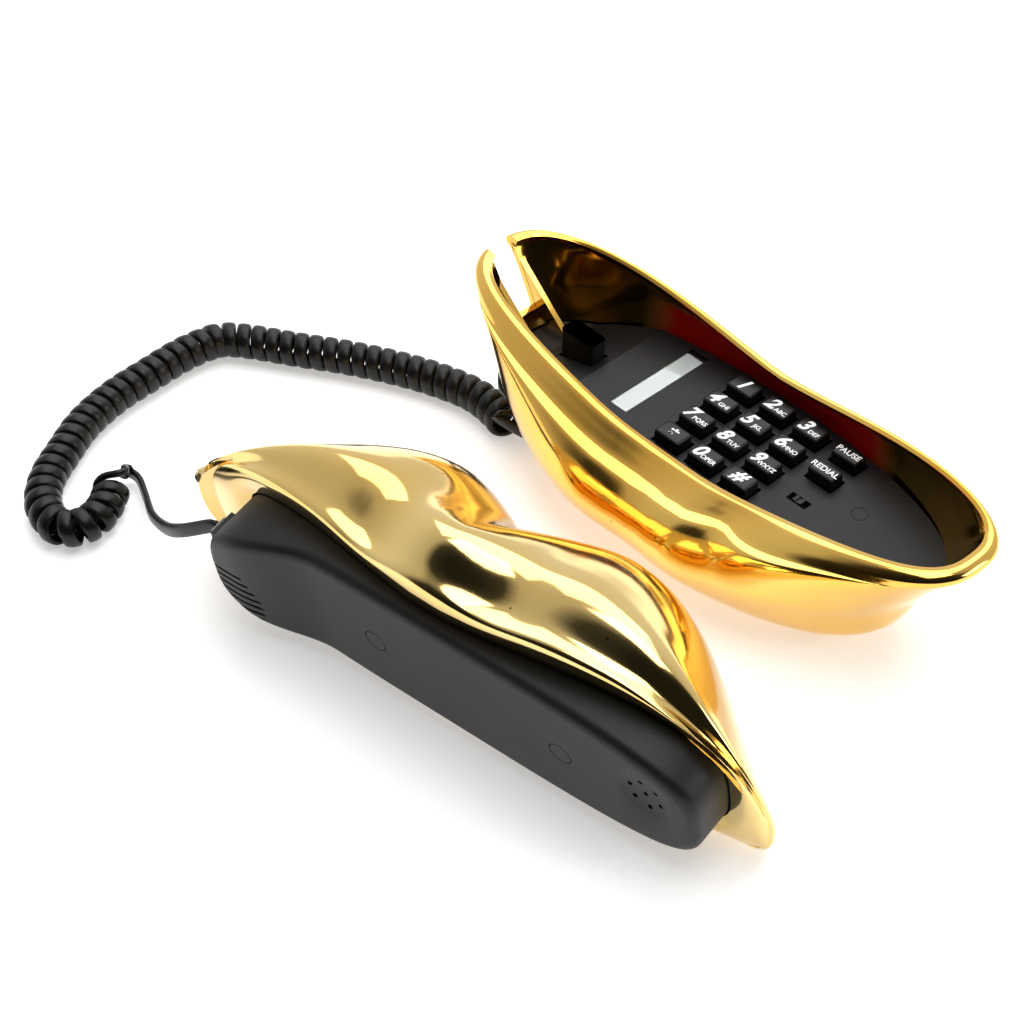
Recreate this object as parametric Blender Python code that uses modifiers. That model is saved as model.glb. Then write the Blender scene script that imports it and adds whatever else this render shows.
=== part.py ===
"""Lips-shaped desk telephone, off the hook.

The lower lip is the base: a bowl-like shell with a keypad deck inside.  The upper lip is the
handset: a metallised shell closed by a black grip.  It lies on its back beside the base, and a
curly cord joins the two.  World frame: X along the base, -Y the side of the user, Z up, and the
origin on the table under the middle of the base.  Sizes below are in millimetres.
"""
import math

import bmesh
import bpy
from mathutils import Matrix, Vector

MM = 0.001
GAP = 0.3                       # clearance between neighbouring pieces
RING_POINTS = 44                # points round one ring of a shell

# Lower lip (base)
BASE_WALL = 2.2
BASE_CENTRE_X = -1.5
BASE_RIM_Z = 39.0               # rim height at the middle; it rises towards the corners
RIM_RISE = 12.0
RIM_RISE_LENGTH = 60.0
HORN_RISE = 2.5                 # the left corner, beside the cord slot, stands higher
BASE_BOTTOM_Z = 1.2
COVER_TOP_Z = 4.0
NOTCH_CENTRE_Y = -2.0           # slot for the cord at the left corner
NOTCH_WIDTH = 10.0
NOTCH_FLOOR_Z = 29.0

# Keypad deck
DECK_TOP_Z = 30.0
DECK_THICKNESS = 2.5
DECK_BEND_X = -49.5             # left of here the deck slopes down to the hook
DECK_LOW_X = -71.0
DECK_LOW_Z = 24.0
DECK_INSET = 3.6                # from the outside of the shell to the deck's edge

# Keys
KEY_PITCH_X = 13.6
KEY_PITCH_Y = 10.5
KEYPAD_X = 3.4
KEYPAD_Y = 4.5
KEY_SIZE = (10.4, 7.4)
KEY_TOP_Z = 34.0
KEY_BOTTOM_Z = 26.4
KEY_CLEARANCE = 0.35
SIDE_KEY_X = 32.0               # pause and redial
SIDE_KEY_SIZE = (10.0, 6.2)
SIDE_KEY_Y = {"key_pause": 20.3, "key_redial": 9.8}
TONE_SLOT = (33.0, -2.6, 7.4, 3.4)      # centre x, y, length, width

# Upper lip (handset), in its own frame: X along it, -Y its front, Z its top, face at Z = 0
HANDSET_WALL = 2.2
GRIP_WALL = 2.0
MOUTH_Z = 3.5                   # mouth edge above the face at the middle
PEAK_X = 30.0                   # the two peaks of the cupid's bow
PEAK_Z = 64.0
BOW_DROP = 13.0
BOW_CENTRE_X = -3.0
TIP_Z = 25.0
HANDSET_HALF_LENGTH = 106.0
GRIP_ENDS = (-77.0, 90.0)
GRIP_ROUNDNESS = 3.6
GRIP_FRONT = 42.0
GRIP_BACK = -4.0
TIP_SWEEPS = (14.0, 19.0)       # the left and right corners of the lip bend back by this much
MOUTHPIECE_DROP = 6.5           # the face bends out at the mouthpiece end
HANDSET_PLACE = (6.9, -121.7)
HANDSET_TURN = 8.4              # degrees about Z
HANDSET_ROLL = -80.0            # degrees about its own X: it lies on its back
PLUG_SCREWS_X = (-19.0, 46.0)   # covered screws in the grip
GRIP_MID = 19.0                 # mid-width of the grip, towards its front

# Curly cord
COIL_RADIUS = 6.0
COIL_CENTRE_Z = 6.2
CORD_RADIUS = 1.3


# ---------------------------------------------------------------- scene and helpers

def clear_scene():
    """Remove whatever the file holds."""
    for obj in list(bpy.data.objects):
        bpy.data.objects.remove(obj, do_unlink=True)


def new_collection(name):
    """Link a collection to the scene."""
    collection = bpy.data.collections.new(name)
    bpy.context.scene.collection.children.link(collection)
    return collection


clear_scene()
PARTS = new_collection("lips_telephone")
CUTTERS = new_collection("cutters")


def material(name, colour, roughness, metallic=0.0):
    """A Principled BSDF with one colour."""
    mat = bpy.data.materials.new(name)
    mat.use_nodes = True
    shader = mat.node_tree.nodes["Principled BSDF"]
    shader.inputs["Base Color"].default_value = (*colour, 1.0)
    shader.inputs["Roughness"].default_value = roughness
    shader.inputs["Metallic"].default_value = metallic
    return mat


GOLD = material("gold_metallised", (0.83, 0.60, 0.20), 0.12, 1.0)
BLACK = material("black_plastic", (0.020, 0.020, 0.022), 0.45)
KEY_BLACK = material("key_plastic", (0.015, 0.015, 0.016), 0.40)
RUBBER = material("black_rubber", (0.020, 0.020, 0.020), 0.75)
WHITE_CARD = material("white_card", (0.80, 0.80, 0.78), 0.60)
CLEAR = material("clear_plastic", (0.75, 0.78, 0.78), 0.15)
STEEL = material("steel", (0.55, 0.55, 0.56), 0.30, 1.0)
BOARD_GREEN = material("board", (0.05, 0.18, 0.08), 0.50)
SILICONE = material("grey_silicone", (0.25, 0.25, 0.26), 0.60)
BRASS = material("brass", (0.75, 0.55, 0.25), 0.35, 1.0)


def add_object(name, bm, mat, cutter=False, closed=True):
    """Turn a bmesh in millimetres into an object in metres; closed bodies face outwards."""
    bmesh.ops.remove_doubles(bm, verts=bm.verts, dist=1e-4)
    if closed:
        bmesh.ops.recalc_face_normals(bm, faces=bm.faces)
    bmesh.ops.scale(bm, vec=(MM, MM, MM), verts=bm.verts)
    mesh = bpy.data.meshes.new(name)
    bm.to_mesh(mesh)
    bm.free()
    mesh.shade_smooth()
    mesh.set_sharp_from_angle(angle=math.radians(35))
    obj = bpy.data.objects.new(name, mesh)
    (CUTTERS if cutter else PARTS).objects.link(obj)
    if cutter:
        obj.hide_render = True
        obj.display_type = "WIRE"
    else:
        mesh.materials.append(mat)
    return obj


def add_bevel(obj, width, segments=2):
    """Round the edges of an object."""
    bevel = obj.modifiers.new("bevel", "BEVEL")
    bevel.width = width * MM
    bevel.segments = segments
    bevel.limit_method = "ANGLE"
    return obj


def combine(obj, other, operation="DIFFERENCE"):
    """Add an exact Boolean to an object."""
    boolean = obj.modifiers.new(other.name, "BOOLEAN")
    boolean.operation = operation
    boolean.object = other
    return obj


def cube_into(bm, size, centre):
    """Add a box to a bmesh."""
    place = Matrix.Translation(Vector(centre)) @ Matrix.Diagonal((*size, 1.0))
    bmesh.ops.create_cube(bm, size=1.0, matrix=place)


def cylinder_into(bm, radius, low, high, centre, axis="Z", segments=24):
    """Add a closed cylinder that runs from low to high along an axis."""
    turn = {"X": Matrix.Rotation(math.pi / 2, 4, "Y"), "Y": Matrix.Rotation(-math.pi / 2, 4, "X"),
            "Z": Matrix.Identity(4)}[axis]
    middle = Vector((0, 0, (low + high) / 2))
    place = Matrix.Translation(Vector(centre)) @ turn @ Matrix.Translation(middle)
    bmesh.ops.create_cone(bm, cap_ends=True, segments=segments, radius1=radius, radius2=radius,
                          depth=high - low, matrix=place)


def box(name, size, centre, mat=None, bevel=0.0, cutter=False):
    """A box object."""
    bm = bmesh.new()
    cube_into(bm, size, centre)
    obj = add_object(name, bm, mat, cutter)
    return add_bevel(obj, bevel) if bevel else obj


def cylinder(name, radius, low, high, centre, mat=None, axis="Z", cutter=False, segments=24):
    """A cylinder object."""
    bm = bmesh.new()
    cylinder_into(bm, radius, low, high, centre, axis, segments)
    return add_object(name, bm, mat, cutter)


def prism(name, outline, low, high, mat=None, cutter=False):
    """A flat closed outline in X and Y, extruded from low to high."""
    bm = bmesh.new()
    verts = [bm.verts.new((x, y, low)) for x, y in outline]
    face = bm.faces.new(verts)
    grown = bmesh.ops.extrude_face_region(bm, geom=[face])
    top = [item for item in grown["geom"] if isinstance(item, bmesh.types.BMVert)]
    bmesh.ops.translate(bm, vec=(0, 0, high - low), verts=top)
    return add_object(name, bm, mat, cutter)


def side_profile(name, outline, half_width, centre_y, mat=None, cutter=False):
    """A closed outline in X and Z, extruded both ways along Y."""
    bm = bmesh.new()
    verts = [bm.verts.new((x, centre_y - half_width, z)) for x, z in outline]
    face = bm.faces.new(verts)
    grown = bmesh.ops.extrude_face_region(bm, geom=[face])
    far = [item for item in grown["geom"] if isinstance(item, bmesh.types.BMVert)]
    bmesh.ops.translate(bm, vec=(0, 2 * half_width, 0), verts=far)
    return add_object(name, bm, mat, cutter)


def superellipse(angle, exponent):
    """Unit superellipse point at an angle."""
    cosine, sine = math.cos(angle), math.sin(angle)
    power = 2.0 / exponent
    return (math.copysign(abs(cosine) ** power, cosine), math.copysign(abs(sine) ** power, sine))


def oval(half_length, front, back, exponent, centre_x=0.0, count=RING_POINTS):
    """Closed outline whose front and back have their own depths."""
    points = []
    for index in range(count):
        along, across = superellipse(2 * math.pi * index / count, exponent)
        points.append((centre_x + half_length * along, across * (back if across > 0 else front)))
    return points


def ring_surface(rings, closed_first=False, closed_last=False):
    """Quads between rings of points that go upwards; end rings may be closed by rungs."""
    bm = bmesh.new()
    rows = [[bm.verts.new(point) for point in ring] for ring in rings]
    count = len(rows[0])
    for lower, upper in zip(rows, rows[1:]):
        for index in range(count):
            after = (index + 1) % count
            bm.faces.new((lower[index], lower[after], upper[after], upper[index]))
    closed_rows = [rows[0]] * closed_first + [rows[-1]] * closed_last
    for row in closed_rows:
        for index in range(count // 2):
            mirror, after = -index % count, -(index + 1) % count
            corners = list(dict.fromkeys((row[index], row[index + 1], row[after], row[mirror])))
            bm.faces.new(corners if row is rows[-1] else corners[::-1])
    return bm


def shell(name, rings, wall, mat, **closed):
    """An open lofted surface thickened inwards."""
    obj = add_object(name, ring_surface(rings, **closed), mat, closed=False)
    solid = obj.modifiers.new("wall", "SOLIDIFY")
    solid.thickness = wall * MM
    solid.offset = -1.0
    return obj


def place_all(parent, objects):
    """Parent objects to an empty, keeping their local coordinates."""
    for obj in objects:
        obj.parent = parent


# ---------------------------------------------------------------- shape of the lips

def corner_rise(x):
    """Share of the mouth line's rise, 0 at the middle and near 1 at the corners."""
    return 1 - math.exp(-(abs(x) / RIM_RISE_LENGTH) ** 1.6)


# half length, front depth, back depth, front height, back height, share of rise, front and
# back roundness
BASE_RINGS = (
    (60.0, 22.0, 15.0, BASE_BOTTOM_Z, BASE_BOTTOM_Z, 0.0, 2.3, 2.3),
    (70.0, 32.0, 21.0, 3.5, 3.5, 0.0, 2.1, 2.3),
    (78.0, 41.5, 27.0, 12.0, 12.0, 0.0, 1.9, 2.3),
    (84.5, 46.0, 31.0, 20.5, 22.0, 0.3, 1.9, 2.3),
    (90.5, 45.0, 32.0, 28.0, 29.0, 0.7, 1.95, 2.3),
    (95.5, 40.0, 31.5, 33.5, 33.0, 1.0, 2.2, 2.4),
    (98.0, 35.0, 30.5, 34.4, 36.0, 1.0, 2.4, 2.5),
    (98.0, 31.0, 29.3, 36.8, 38.2, 1.0, 2.7, 2.5),
    (95.5, 27.5, 27.8, 39.0, 39.0, 1.0, 2.8, 2.6),
    (93.0, 24.6, 26.2, 38.5, 38.3, 1.0, 2.8, 2.7),
)


def base_ring(half_length, front, back, front_z, back_z, rise, front_round, back_round):
    """One ring of the lower lip, with a soft dip at the middle of its front."""
    points = []
    for index in range(RING_POINTS):
        angle = 2 * math.pi * index / RING_POINTS
        along, across = superellipse(angle, front_round if math.sin(angle) < 0 else back_round)
        x = half_length * along
        dip = 1 - 0.06 * math.exp(-(x / 15.0) ** 2)
        y = across * (back if across > 0 else front * dip)
        frontness = 0.5 - 0.5 * math.sin(angle)
        top = RIM_RISE + (HORN_RISE if x < 0 else 0.0)
        z = front_z * frontness + back_z * (1 - frontness) + rise * top * corner_rise(x)
        points.append((BASE_CENTRE_X + x, y, z))
    return points


def mouth_height(x):
    """Height of the handset's mouth edge above its face."""
    return MOUTH_Z + RIM_RISE * corner_rise(x)


def bow_height(x):
    """Height of the cupid's bow outline: two peaks, a sharp dip between them, low tips."""
    reach = abs(x - BOW_CENTRE_X)
    if reach < PEAK_X:
        return PEAK_Z - BOW_DROP * (1 - reach / PEAK_X) ** 1.5
    share = min((reach - PEAK_X) / (HANDSET_HALF_LENGTH - PEAK_X), 1.0)
    fall = max(0.5 + 0.5 * math.cos(math.pi * share), 0.0) ** 0.75
    return TIP_Z + (PEAK_Z - TIP_Z) * fall


# left end, right end, front and back (both towards the front), share of the height, extra
# height, front and back roundness, share of the tips' sweep
HANDSET_RINGS = (
    (GRIP_ENDS[0] - 0.5, GRIP_ENDS[1] + 0.5, GRIP_FRONT + 0.5, GRIP_BACK - 0.5, 0.0, 1.2,
     GRIP_ROUNDNESS, GRIP_ROUNDNESS, 0.0),
    (-84.0, 95.5, 49.0, -6.0, 0.0, 0.0, 3.0, 3.4, 0.1),
    (-94.0, 99.0, 55.0, -7.8, 0.0, 1.2, 2.5, 3.2, 0.5),
    (-100.5, 101.0, 58.0, -9.0, 0.08, 2.0, 2.2, 3.0, 0.9),
    (-103.0, 102.0, 57.5, -10.0, 0.33, 0.0, 2.1, 2.6, 1.0),
    (-102.5, 101.0, 51.0, -12.0, 0.55, 0.0, 2.1, 2.4, 1.0),
    (-100.0, 99.0, 40.0, -13.0, 0.75, 0.0, 2.2, 2.3, 1.0),
    (-96.0, 96.0, 27.0, -11.5, 0.90, 0.0, 2.3, 2.3, 1.0),
    (-91.0, 91.0, 14.0, -6.5, 0.985, 0.0, 2.3, 2.3, 1.0),
    (-86.0, 86.0, 7.0, 0.5, 1.0, 0.0, 2.3, 2.3, 1.0),
)


def tip_sweep(x):
    """How far a corner of the lip bends back."""
    share = min(max((abs(x) - 55.0) / 50.0, 0.0), 1.0)
    return TIP_SWEEPS[x > 0] * share * share


def handset_ring(left, right, front, back, share, extra, front_round, back_round, sweep):
    """One ring of the upper lip in the handset's frame."""
    points = []
    for index in range(RING_POINTS):
        angle = 2 * math.pi * index / RING_POINTS
        along, across = superellipse(angle, front_round if math.sin(angle) < 0 else back_round)
        x = (left + right) / 2 + along * (right - left) / 2
        y = -(front + back) / 2 + across * (front - back) / 2 + sweep * tip_sweep(x)
        low = mouth_height(x) + extra
        points.append((x, y, low + share * (max(bow_height(x), low + 2.0) - low)))
    return points


def mouthpiece_drop(x):
    """How far the face bends out at the mouthpiece end."""
    share = min(max((-x - 38.0) / 30.0, 0.0), 1.0)
    return -MOUTHPIECE_DROP * share * share * (3 - 2 * share)


# inset from the grip's outline, height above the face, share of the mouth edge's height
GRIP_RINGS = ((3.6, 0.0, 0.0), (1.0, 1.3, 0.0), (0.0, 4.2, 0.0), (0.0, 2.6, 1.0))


def grip_ring(inset, height, mouth_share):
    """One ring of the black grip in the handset's frame."""
    points = []
    left, right = GRIP_ENDS
    half_width = (GRIP_FRONT - GRIP_BACK) / 2 - inset
    for index in range(RING_POINTS):
        along, across = superellipse(2 * math.pi * index / RING_POINTS, GRIP_ROUNDNESS)
        x = (left + right) / 2 + ((right - left) / 2 - inset) * along
        drop = mouthpiece_drop(x) * (1 - mouth_share)
        points.append((x, -GRIP_MID + half_width * across,
                       height + mouth_share * mouth_height(x) + drop))
    return points


# ---------------------------------------------------------------- base

SOCKET_SIZE = (13.0, 11.0, 9.0)
BASE_SOCKET = (-74.0, -2.0, 11.0)
LINE_SOCKET = (16.0, 20.4, 11.0)
SCREW_PLACES = ((-46.0, -9.0), (46.0, -9.0), (46.0, 7.0), (-46.0, 7.0))
FOOT_RADIUS = 4.0
FOOT_TOP_Z = 2.0              # bottom of the feet's seats in the cover
SCREW_HEAD_RADIUS = 2.7
SCREW_HEAD_TOP_Z = 2.4        # bottom of the screw heads' seats
FOOT_PLACES = ((-38.0, -13.0), (38.0, -13.0), (38.0, 7.5), (-38.0, 7.5))


def build_base_shell():
    """The metallised lower lip with its cord slot, slot cheeks and socket holes."""
    base = shell("base_shell", [base_ring(*ring) for ring in BASE_RINGS], BASE_WALL, GOLD)
    for side in (-1, 1):
        y = NOTCH_CENTRE_Y + side * (NOTCH_WIDTH / 2 + 1.0)
        outline = ((-95.0, 46.0), (-90.6, 37.0), (-86.8, 26.2), (-73.0, 26.2))
        combine(base, side_profile(f"slot_cheek_{side}", outline, 0.9, y, cutter=True), "UNION")
    combine(base, box("cord_slot", (40.0, NOTCH_WIDTH, 40.0),
                      (-100.0, NOTCH_CENTRE_Y, NOTCH_FLOOR_Z + 20.0), cutter=True))
    _, width, height = SOCKET_SIZE
    combine(base, box("base_socket_hole", (40.0, width + 0.7, height + 0.7),
                      (-86.0, BASE_SOCKET[1], BASE_SOCKET[2]), cutter=True))
    combine(base, box("line_socket_hole", (width + 0.7, 30.0, height + 0.7),
                      (LINE_SOCKET[0], 28.0, LINE_SOCKET[2]), cutter=True))


def build_socket(name, centre, axis):
    """A modular socket: a box with an open mouth; axis is where the mouth looks."""
    length, width, height = SOCKET_SIZE
    body = (length, width, height) if axis == "X" else (width, length, height)
    mouth = (length, width - 3.2, height - 2.6) if axis == "X" else (width - 3.2, length, height - 2.6)
    shift = (-2.0, 0, 0) if axis == "X" else (0, 2.0, 0)
    obj = box(name, body, centre, BLACK)
    mouth_centre = [place + move for place, move in zip(centre, shift)]
    return combine(obj, box(f"{name}_mouth", mouth, mouth_centre, cutter=True))


def build_bottom():
    """Bottom cover with its screws and rubber feet."""
    outline = oval(58.6, 19.6, 13.8, 2.3, BASE_CENTRE_X)
    cover = prism("base_bottom_cover", outline, BASE_BOTTOM_Z, COVER_TOP_Z, BLACK)
    for number, (x, y) in enumerate(SCREW_PLACES, 1):
        combine(cover, cylinder(f"screw_hole_{number}", 1.8, 0, 6, (x, y, 0), cutter=True))
        combine(cover, cylinder(f"screw_seat_{number}", SCREW_HEAD_RADIUS + 0.2, 0, SCREW_HEAD_TOP_Z,
                                (x, y, 0), cutter=True))
        bm = bmesh.new()
        cylinder_into(bm, SCREW_HEAD_RADIUS, BASE_BOTTOM_Z + 0.2, SCREW_HEAD_TOP_Z - GAP, (x, y, 0),
                      segments=16)
        screw = add_object(f"base_screw_{number}", bm, STEEL)
        combine(screw, cylinder(f"shank_{number}", 1.25, BASE_BOTTOM_Z + 0.5, 13.0, (x, y, 0),
                                cutter=True, segments=12), "UNION")
    for number, (x, y) in enumerate(FOOT_PLACES, 1):
        combine(cover, cylinder(f"foot_seat_{number}", FOOT_RADIUS + 0.1, 0, FOOT_TOP_Z, (x, y, 0),
                                cutter=True))
        cylinder(f"rubber_foot_{number}", FOOT_RADIUS, 0.0, FOOT_TOP_Z - GAP, (x, y, 0), RUBBER)


def deck_height(x):
    """Top of the deck at x."""
    share = min(max((DECK_BEND_X - x) / (DECK_BEND_X - DECK_LOW_X), 0.0), 1.0)
    return DECK_TOP_Z + share * (DECK_LOW_Z - DECK_TOP_Z)


def key_places():
    """Name, centre and size of each key, row by row from the far side."""
    names = ("1", "2", "3", "4", "5", "6", "7", "8", "9", "star", "0", "hash")
    places = {}
    for index, name in enumerate(names):
        row, column = divmod(index, 3)
        centre = (KEYPAD_X + (column - 1) * KEY_PITCH_X, KEYPAD_Y + (1.5 - row) * KEY_PITCH_Y)
        places[f"key_{name}"] = (centre, KEY_SIZE)
    for name, y in SIDE_KEY_Y.items():
        places[name] = ((SIDE_KEY_X, y), SIDE_KEY_SIZE)
    return places


PLUNGER = {"x": (-67.0, -53.0), "y": -0.5, "half_width": 3.5, "top": 36.0, "low_top": 31.2,
           "bottom": 18.0}
LABEL = {"x": -32.7, "y": 5.0, "width": 6.6, "length": 34.0}


def build_deck():
    """The black deck, cut for the keys, the hook, the label and the tone switch."""
    xs = (-95.0, DECK_LOW_X, DECK_BEND_X, 95.0)
    top = [(x, deck_height(x)) for x in xs]
    bottom = [(x, z - DECK_THICKNESS) for x, z in reversed(top)]
    deck = side_profile("keypad_deck", top + bottom, 40.0, 0.0, BLACK)
    inside = ring_surface([base_ring(length - DECK_INSET, front - DECK_INSET, back - DECK_INSET, *rest)
                           for length, front, back, *rest in BASE_RINGS[1:6]],
                          closed_first=True, closed_last=True)
    combine(deck, add_object("shell_inside", inside, None, cutter=True), "INTERSECT")
    posts = bmesh.new()
    for x, y in SCREW_PLACES:
        cylinder_into(posts, 3.2, 4.3, DECK_TOP_Z - 1.2, (x, y, 0), segments=16)
    combine(deck, add_object("deck_posts", posts, None, cutter=True), "UNION")
    cuts = bmesh.new()
    for x, y in SCREW_PLACES:
        cylinder_into(cuts, 1.6, 0.0, 14.0, (x, y, 0), segments=12)
    for (x, y), (length, width) in key_places().values():
        cube_into(cuts, (length + 2 * KEY_CLEARANCE, width + 2 * KEY_CLEARANCE, 12.0), (x, y, 29.0))
    low, high = PLUNGER["x"]
    cube_into(cuts, (high - low + 0.8, 2 * PLUNGER["half_width"] + 0.8, 20.0),
              ((low + high) / 2, PLUNGER["y"], 27.0))
    cube_into(cuts, (LABEL["width"] + 0.6, LABEL["length"] + 2.6, 2.4),
              (LABEL["x"], LABEL["y"] + 1.0, DECK_TOP_Z))
    x, y, length, width = TONE_SLOT
    cube_into(cuts, (length, width, 12.0), (x, y, 29.0))
    combine(deck, add_object("deck_cuts", cuts, None, cutter=True))


def build_keys():
    """Fourteen keys that slide through the deck."""
    for name, ((x, y), (length, width)) in key_places().items():
        height = KEY_TOP_Z - KEY_BOTTOM_Z
        key = box(name, (length, width, height), (0, 0, 0), KEY_BLACK, bevel=1.3)
        key.location = Vector((x, y, KEY_BOTTOM_Z + height / 2)) * MM


def build_label():
    """Memory card and its clear window, lying in the recess of the deck."""
    box("label_card", (LABEL["width"], LABEL["length"], 0.4),
        (LABEL["x"], LABEL["y"], DECK_TOP_Z - 0.7), WHITE_CARD)
    box("label_window", (LABEL["width"], LABEL["length"], 0.4),
        (LABEL["x"], LABEL["y"], DECK_TOP_Z - 0.2), CLEAR)


def build_hook():
    """Hook plunger with its flange, return spring and switch."""
    low, high = PLUNGER["x"]
    bottom = PLUNGER["bottom"]
    outline = ((low, bottom + 0.5), (low, 34.0), (low + 1.2, 35.6), (low + 3.0, PLUNGER["top"]),
               (low + 5.0, 35.6), (high, PLUNGER["low_top"]), (high, bottom + 0.5))
    centre = ((low + high) / 2, PLUNGER["y"])
    shifted = [(x - centre[0], z - bottom) for x, z in outline]
    plunger = side_profile("hook_plunger", shifted, PLUNGER["half_width"], 0.0, BLACK)
    plunger.location = Vector((*centre, bottom)) * MM
    flange = box("plunger_flange", (16.6, 10.5, 2.0), (1.3, 0, 1.0), cutter=True)
    flange.parent = plunger
    combine(plunger, flange, "UNION")
    add_bevel(plunger, 0.8, 1)

    turns, points_per_turn, radius = 5, 10, 3.4
    count = turns * points_per_turn
    rise = bottom - 5.6
    coil = []
    for index in range(count + 1):
        angle = 2 * math.pi * index / points_per_turn
        coil.append((centre[0] + radius * math.cos(angle), centre[1] + radius * math.sin(angle),
                     4.9 + rise * index / count))
    tube("hook_spring", coil, 0.35, STEEL, resolution=1)
    box("hook_switch", (9.0, 7.0, 6.0), (-42.5, PLUNGER["y"], 7.5), BLACK)


def build_electronics():
    """Boards, contacts and ringer under the deck."""
    box("main_board", (80.0, 34.0, 1.6), (1.0, 3.0, 22.3), BOARD_GREEN)
    box("keypad_membrane", (60.0, 42.0, 1.2), (12.0, 4.5, 24.0), SILICONE)
    x, y, length, width = TONE_SLOT
    box("tone_switch_body", (9.4, 5.4, 2.2), (x, y, 26.0), STEEL)
    slider = box("tone_pulse_slider", (3.4, 2.6, 3.0), (0, 0, 0), BLACK, bevel=0.4)
    slider.location = Vector((x, y, 29.0)) * MM
    cylinder("ringer", 10.0, 4.4, 8.0, (20.0, -4.0, 0), BRASS)
    build_socket("base_cord_socket", BASE_SOCKET, "X")
    build_socket("line_socket", LINE_SOCKET, "Y")


# ---------------------------------------------------------------- handset

HANDSET_SOCKET = (-70.7, -24.0, 1.8)


def build_handset():
    """Upper-lip shell, grip and what they hold, in the handset's own frame."""
    outer = shell("handset_outer_shell", [handset_ring(*ring) for ring in HANDSET_RINGS],
                  HANDSET_WALL, GOLD, closed_last=True)
    grip = shell("handset_grip", [grip_ring(*ring) for ring in GRIP_RINGS], GRIP_WALL, BLACK,
                 closed_first=True)
    pieces = [outer, grip]
    socket_x, socket_y, socket_z = HANDSET_SOCKET
    _, width, height = SOCKET_SIZE
    guides = [box("handset_socket_hole", (30.0, width + 0.7, height + 0.7),
                  (socket_x - 9.0, socket_y, socket_z), cutter=True)]
    combine(grip, guides[0])
    for number, x in enumerate(PLUG_SCREWS_X, 1):
        place = (x, -GRIP_MID, 0)
        post = cylinder(f"grip_post_{number}", 5.0, 1.0, 12.0, place, cutter=True)
        bore = cylinder(f"plug_bore_{number}", 3.85, -4.0, 6.0, place, cutter=True)
        hole = cylinder(f"screw_way_{number}", 1.7, 3.0, 16.0, place, cutter=True, segments=12)
        combine(grip, post, "UNION")
        combine(grip, bore)
        combine(grip, hole)
        pillar = cylinder(f"shell_pillar_{number}", 3.6, 12.3, bow_height(x) - 4.5, place, cutter=True)
        pilot = cylinder(f"pilot_hole_{number}", 1.6, 10.0, 24.0, place, cutter=True, segments=12)
        combine(outer, pillar, "UNION")
        combine(outer, pilot)
        guides += [post, bore, hole, pillar, pilot]
        pieces.append(cylinder(f"screw_plug_{number}", 3.5, 0.0, 1.8, place, BLACK))
        screw = cylinder(f"handset_screw_{number}", 2.8, 3.4, 5.7, place, STEEL, segments=16)
        shank = cylinder(f"handset_shank_{number}", 1.3, 4.0, 21.0, place, cutter=True, segments=12)
        combine(screw, shank, "UNION")
        guides.append(shank)
        pieces.append(screw)
    pieces.append(cylinder("receiver_capsule", 14.0, 2.4, 12.0, (69.0, -GRIP_MID - 1.0, 0), STEEL,
                           segments=32))
    pieces.append(cylinder("microphone_capsule", 4.8, -1.0, 4.4, (-57.5, -10.0, 0), STEEL))
    socket = build_socket("handset_cord_socket", HANDSET_SOCKET, "X")
    guides += [obj for obj in CUTTERS.objects if obj.name == "handset_cord_socket_mouth"]
    pieces.append(socket)
    return pieces, guides


def lay_handset(pieces, guides):
    """Lay the handset on its back on the table, beside the base."""
    turn = Matrix.Rotation(math.radians(HANDSET_TURN), 4, "Z")
    pose = turn @ Matrix.Rotation(math.radians(HANDSET_ROLL), 4, "X")
    lowest = min((pose @ vert.co).z for vert in pieces[0].data.vertices)
    holder = bpy.data.objects.new("handset_axis", None)
    PARTS.objects.link(holder)
    x, y = HANDSET_PLACE
    holder.matrix_world = Matrix.Translation((x * MM, y * MM, -lowest)) @ pose
    place_all(holder, pieces + guides)
    return holder.matrix_world.copy()


# ---------------------------------------------------------------- cord

def smooth_path(points, spacing):
    """Evenly spaced points on a smooth curve through the given ones."""
    knots = [Vector(point) for point in points]
    knots = [2 * knots[0] - knots[1]] + knots + [2 * knots[-1] - knots[-2]]
    dense = []
    for a, b, c, d in zip(knots, knots[1:], knots[2:], knots[3:]):
        for step in range(20):
            t = step / 20
            dense.append(0.5 * (2 * b + (c - a) * t + (2 * a - 5 * b + 4 * c - d) * t ** 2
                                + (3 * b - a - 3 * c + d) * t ** 3))
    dense.append(knots[-2])
    total = sum((q - p).length for p, q in zip(dense, dense[1:]))
    count = max(2, round(total / spacing))
    result, travelled, target = [dense[0]], 0.0, total / count
    for p, q in zip(dense, dense[1:]):
        step = (q - p).length
        while travelled + step >= target and len(result) < count:
            result.append(p.lerp(q, (target - travelled) / step))
            target += total / count
        travelled += step
    result.append(dense[-1])
    return result


def tube(name, points, radius, mat, resolution):
    """A round bar along a path of points."""
    curve = bpy.data.curves.new(name, "CURVE")
    curve.dimensions = "3D"
    curve.bevel_depth = radius * MM
    curve.bevel_resolution = resolution
    curve.use_fill_caps = True
    spline = curve.splines.new("POLY")
    spline.points.add(len(points) - 1)
    for slot, point in zip(spline.points, points):
        slot.co = (*(Vector(point) * MM), 1.0)
    curve.materials.append(mat)
    obj = bpy.data.objects.new(name, curve)
    PARTS.objects.link(obj)
    return obj


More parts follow.
